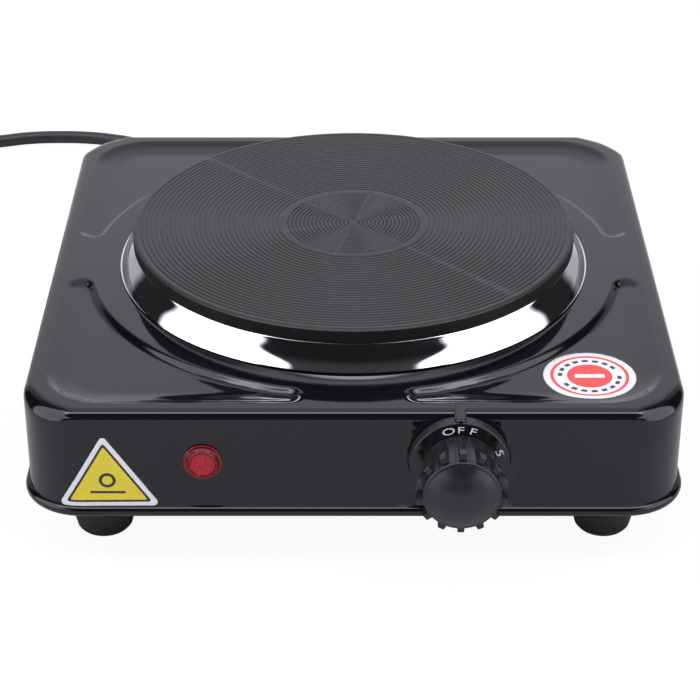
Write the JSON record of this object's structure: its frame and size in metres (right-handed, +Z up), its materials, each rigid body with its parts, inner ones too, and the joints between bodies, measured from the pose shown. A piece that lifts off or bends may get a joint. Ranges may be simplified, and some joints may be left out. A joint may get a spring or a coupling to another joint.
{
  "type": "electric hot plate",
  "caption": "Square black enamelled single electric hot plate: cast iron plate in a chrome spill ring, thermostat knob, red indicator lamp, rubber feet and coiled mains lead.",
  "frame": {"origin": "on the surface that the feet stand on, at the middle of the footprint from the front of the knob to the bead at the back of the case, without the mains lead", "axes": "+Z up, out of the cooking plate; -Y towards the user, out of the knob; +X to the user's right"},
  "size_m": [0.3507, 0.361, 0.0718],
  "materials": {
    "enamel": "glossy black vitreous enamel on pressed steel",
    "cast_iron": "matte black baked coating over turned cast iron",
    "chrome": "polished chromed steel",
    "zinc_steel": "zinc plated steel",
    "rubber": "matte black rubber",
    "knob_plastic": "black phenolic moulding",
    "black_plastic": "black moulded plastic",
    "red_lens": "translucent red polycarbonate",
    "ceramic": "white glazed steatite ceramic",
    "magnesia": "compacted magnesia cement",
    "heating_alloy": "oxidised resistance alloy",
    "brass": "plated brass",
    "bulb_glass": "clear glass",
    "cord_sheath": "black flexible sheath",
    "brown_wire": "brown wire insulation",
    "blue_wire": "blue wire insulation",
    "green_wire": "green and yellow wire insulation",
    "yellow_sticker": "printed film",
    "white_sticker": "printed film"
  },
  "bodies": {
    "case": {"top_housing": "enamel", "cast_iron_plate": "cast_iron", "spill_ring": "chrome", "bottom_cover": "zinc_steel", "element_cover": "zinc_steel", "carrier_bar": "zinc_steel", "flange_nut": "zinc_steel", "plate_stud": "zinc_steel", "thermostat_bracket": "zinc_steel", "thermostat_screw_left": "zinc_steel", "thermostat_screw_right": "zinc_steel", "bimetal_strip": "zinc_steel", "lamp_clip": "zinc_steel", "earth_screw": "zinc_steel", "foot_screw_front_left": "zinc_steel", "foot_screw_front_right": "zinc_steel", "foot_screw_rear_left": "zinc_steel", "foot_screw_rear_right": "zinc_steel", "foot_front_left": "rubber", "foot_front_right": "rubber", "foot_rear_left": "rubber", "foot_rear_right": "rubber", "strain_relief": "rubber", "lamp_sleeve": "black_plastic", "cord_tie": "black_plastic", "plug_body": "black_plastic", "indicator_lens": "red_lens", "coil_terminal_1": "ceramic", "coil_terminal_2": "ceramic", "thermostat_block": "ceramic", "terminal_block": "ceramic", "coil_insulation": "magnesia", "heating_coil": "heating_alloy", "fixed_contact": "brass", "terminal_screw_1": "brass", "terminal_screw_2": "brass", "terminal_screw_3": "brass", "plug_blade_upper": "brass", "plug_blade_lower": "brass", "plug_earth_pin": "brass", "neon_bulb": "bulb_glass", "power_cord": "cord_sheath", "cord_coil": "cord_sheath", "cord_tail": "cord_sheath", "supply_live_wire": "brown_wire", "live_wire": "brown_wire", "load_wire": "brown_wire", "lamp_lead_2": "brown_wire", "supply_neutral_wire": "blue_wire", "return_wire": "blue_wire", "lamp_lead_1": "blue_wire", "earth_wire": "green_wire", "hot_surface_sticker": "yellow_sticker", "round_sticker": "white_sticker"},
    "knob": {"knob_dial": "knob_plastic", "knob_grip": "knob_plastic", "thermostat_shaft": "zinc_steel", "knob_spring": "zinc_steel"},
    "adjusting_pin": {"adjusting_pin": "ceramic"},
    "contact_arm": {"contact_arm": "brass"}
  },
  "joints": [
    {"name": "knob_turn", "type": "hinge", "parent": "case", "child": "knob", "pos_m": [0.0334, -0.0943, 0.0413], "axis": [0, 1, 0], "range_deg": [0, 300]},
    {"name": "adjusting_pin_slide", "type": "slide", "parent": "case", "child": "adjusting_pin", "axis": [0, 1, 0], "range_m": [0, 0.00121]},
    {"name": "contact_arm_bend", "type": "hinge", "parent": "case", "child": "contact_arm", "pos_m": [0.0249, -0.0777, 0.0413], "axis": [0, 0, 1], "range_deg": [0, 8.01]}
  ],
  "couplings": [
    {"joint": "adjusting_pin_slide", "follows": "knob_turn", "m_per_rad": 0.00022918},
    {"joint": "contact_arm_bend", "follows": "knob_turn", "ratio": 0.026667}
  ]
}
